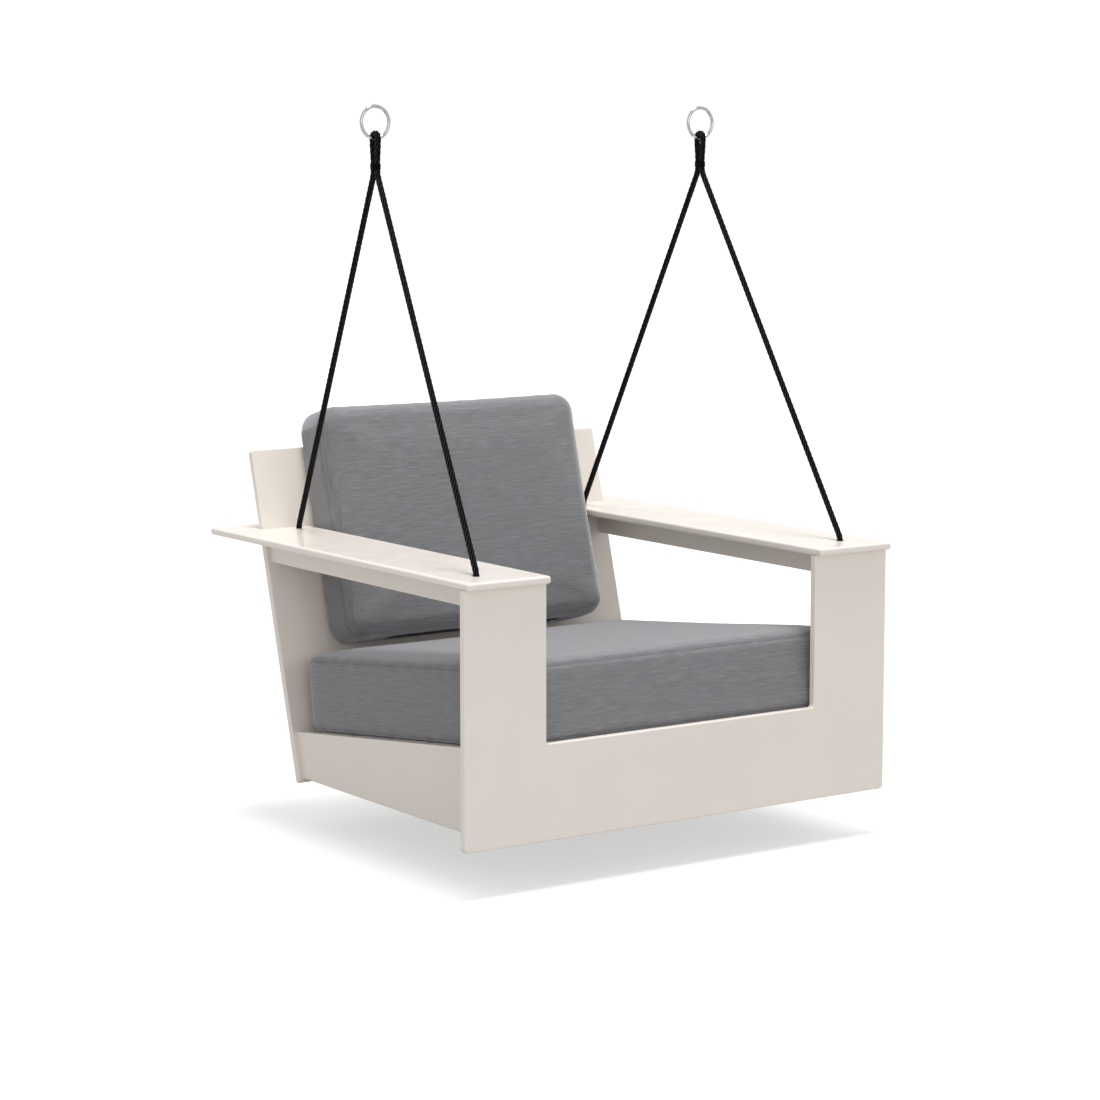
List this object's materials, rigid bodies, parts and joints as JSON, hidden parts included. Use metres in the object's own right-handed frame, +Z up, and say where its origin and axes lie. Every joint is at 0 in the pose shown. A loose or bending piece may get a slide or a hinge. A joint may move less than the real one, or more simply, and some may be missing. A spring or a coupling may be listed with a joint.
{
  "type": "porch swing",
  "caption": "Hanging lounge seat of flat plastic sheets with wide arms, a reclined back, two thick cushions, and ropes to steel rings.",
  "frame": {"origin": "midway between the two rings, on the line through the inner tops of the rings, where the hooks carry them", "axes": "+X to the right of a person facing the swing's front, +Y to the back of the seat, +Z up"},
  "size_m": [0.838, 0.813, 1.1432],
  "materials": {
    "hdpe_sheet": "satin",
    "cushion_fabric": "matte",
    "zip_tape": "matte",
    "black_rope": "matte",
    "stainless_steel": "satin"
  },
  "bodies": {
    "rings": {"ring_left": "stainless_steel", "ring_right": "stainless_steel"},
    "seat": {"angle_screws": "stainless_steel", "apron_studs": "stainless_steel", "arm_apron_left": "hdpe_sheet", "arm_apron_right": "hdpe_sheet", "arm_screws": "stainless_steel", "armrest_left": "hdpe_sheet", "armrest_right": "hdpe_sheet", "back_panel": "hdpe_sheet", "back_screws": "stainless_steel", "barrel_nuts": "stainless_steel", "cleat_screws": "stainless_steel", "corner_angle_left": "stainless_steel", "corner_angle_right": "stainless_steel", "front_cleat": "hdpe_sheet", "front_panel": "hdpe_sheet", "knot_front_left": "black_rope", "knot_front_right": "black_rope", "knot_rear_left": "black_rope", "knot_rear_right": "black_rope", "knot_washer_front_left": "stainless_steel", "knot_washer_front_right": "stainless_steel", "knot_washer_rear_left": "stainless_steel", "knot_washer_rear_right": "stainless_steel", "rope_left": "black_rope", "rope_right": "black_rope", "rope_whipping_left": "black_rope", "rope_whipping_right": "black_rope", "seat_cleat_left": "hdpe_sheet", "seat_cleat_right": "hdpe_sheet", "seat_cushion": "cushion_fabric", "seat_cushion_zip": "zip_tape", "seat_slat_1": "hdpe_sheet", "seat_slat_2": "hdpe_sheet", "seat_slat_3": "hdpe_sheet", "seat_slat_4": "hdpe_sheet", "seat_slat_5": "hdpe_sheet", "side_rail_left": "hdpe_sheet", "side_rail_right": "hdpe_sheet", "slat_screws": "stainless_steel"},
    "loose_back_cushion": {"back_cushion": "cushion_fabric", "back_cushion_zip": "zip_tape"}
  },
  "joints": [
    {"name": "swing", "type": "hinge", "parent": "rings", "child": "seat", "pos_m": [0, 0, -0.04875], "axis": [1, 0, 0], "range_deg": [-30, 30]},
    {"name": "back_cushion_lift", "type": "slide", "parent": "seat", "child": "loose_back_cushion", "axis": [0, 0.2672, 0.9636], "range_m": [0, 0.4]}
  ]
}
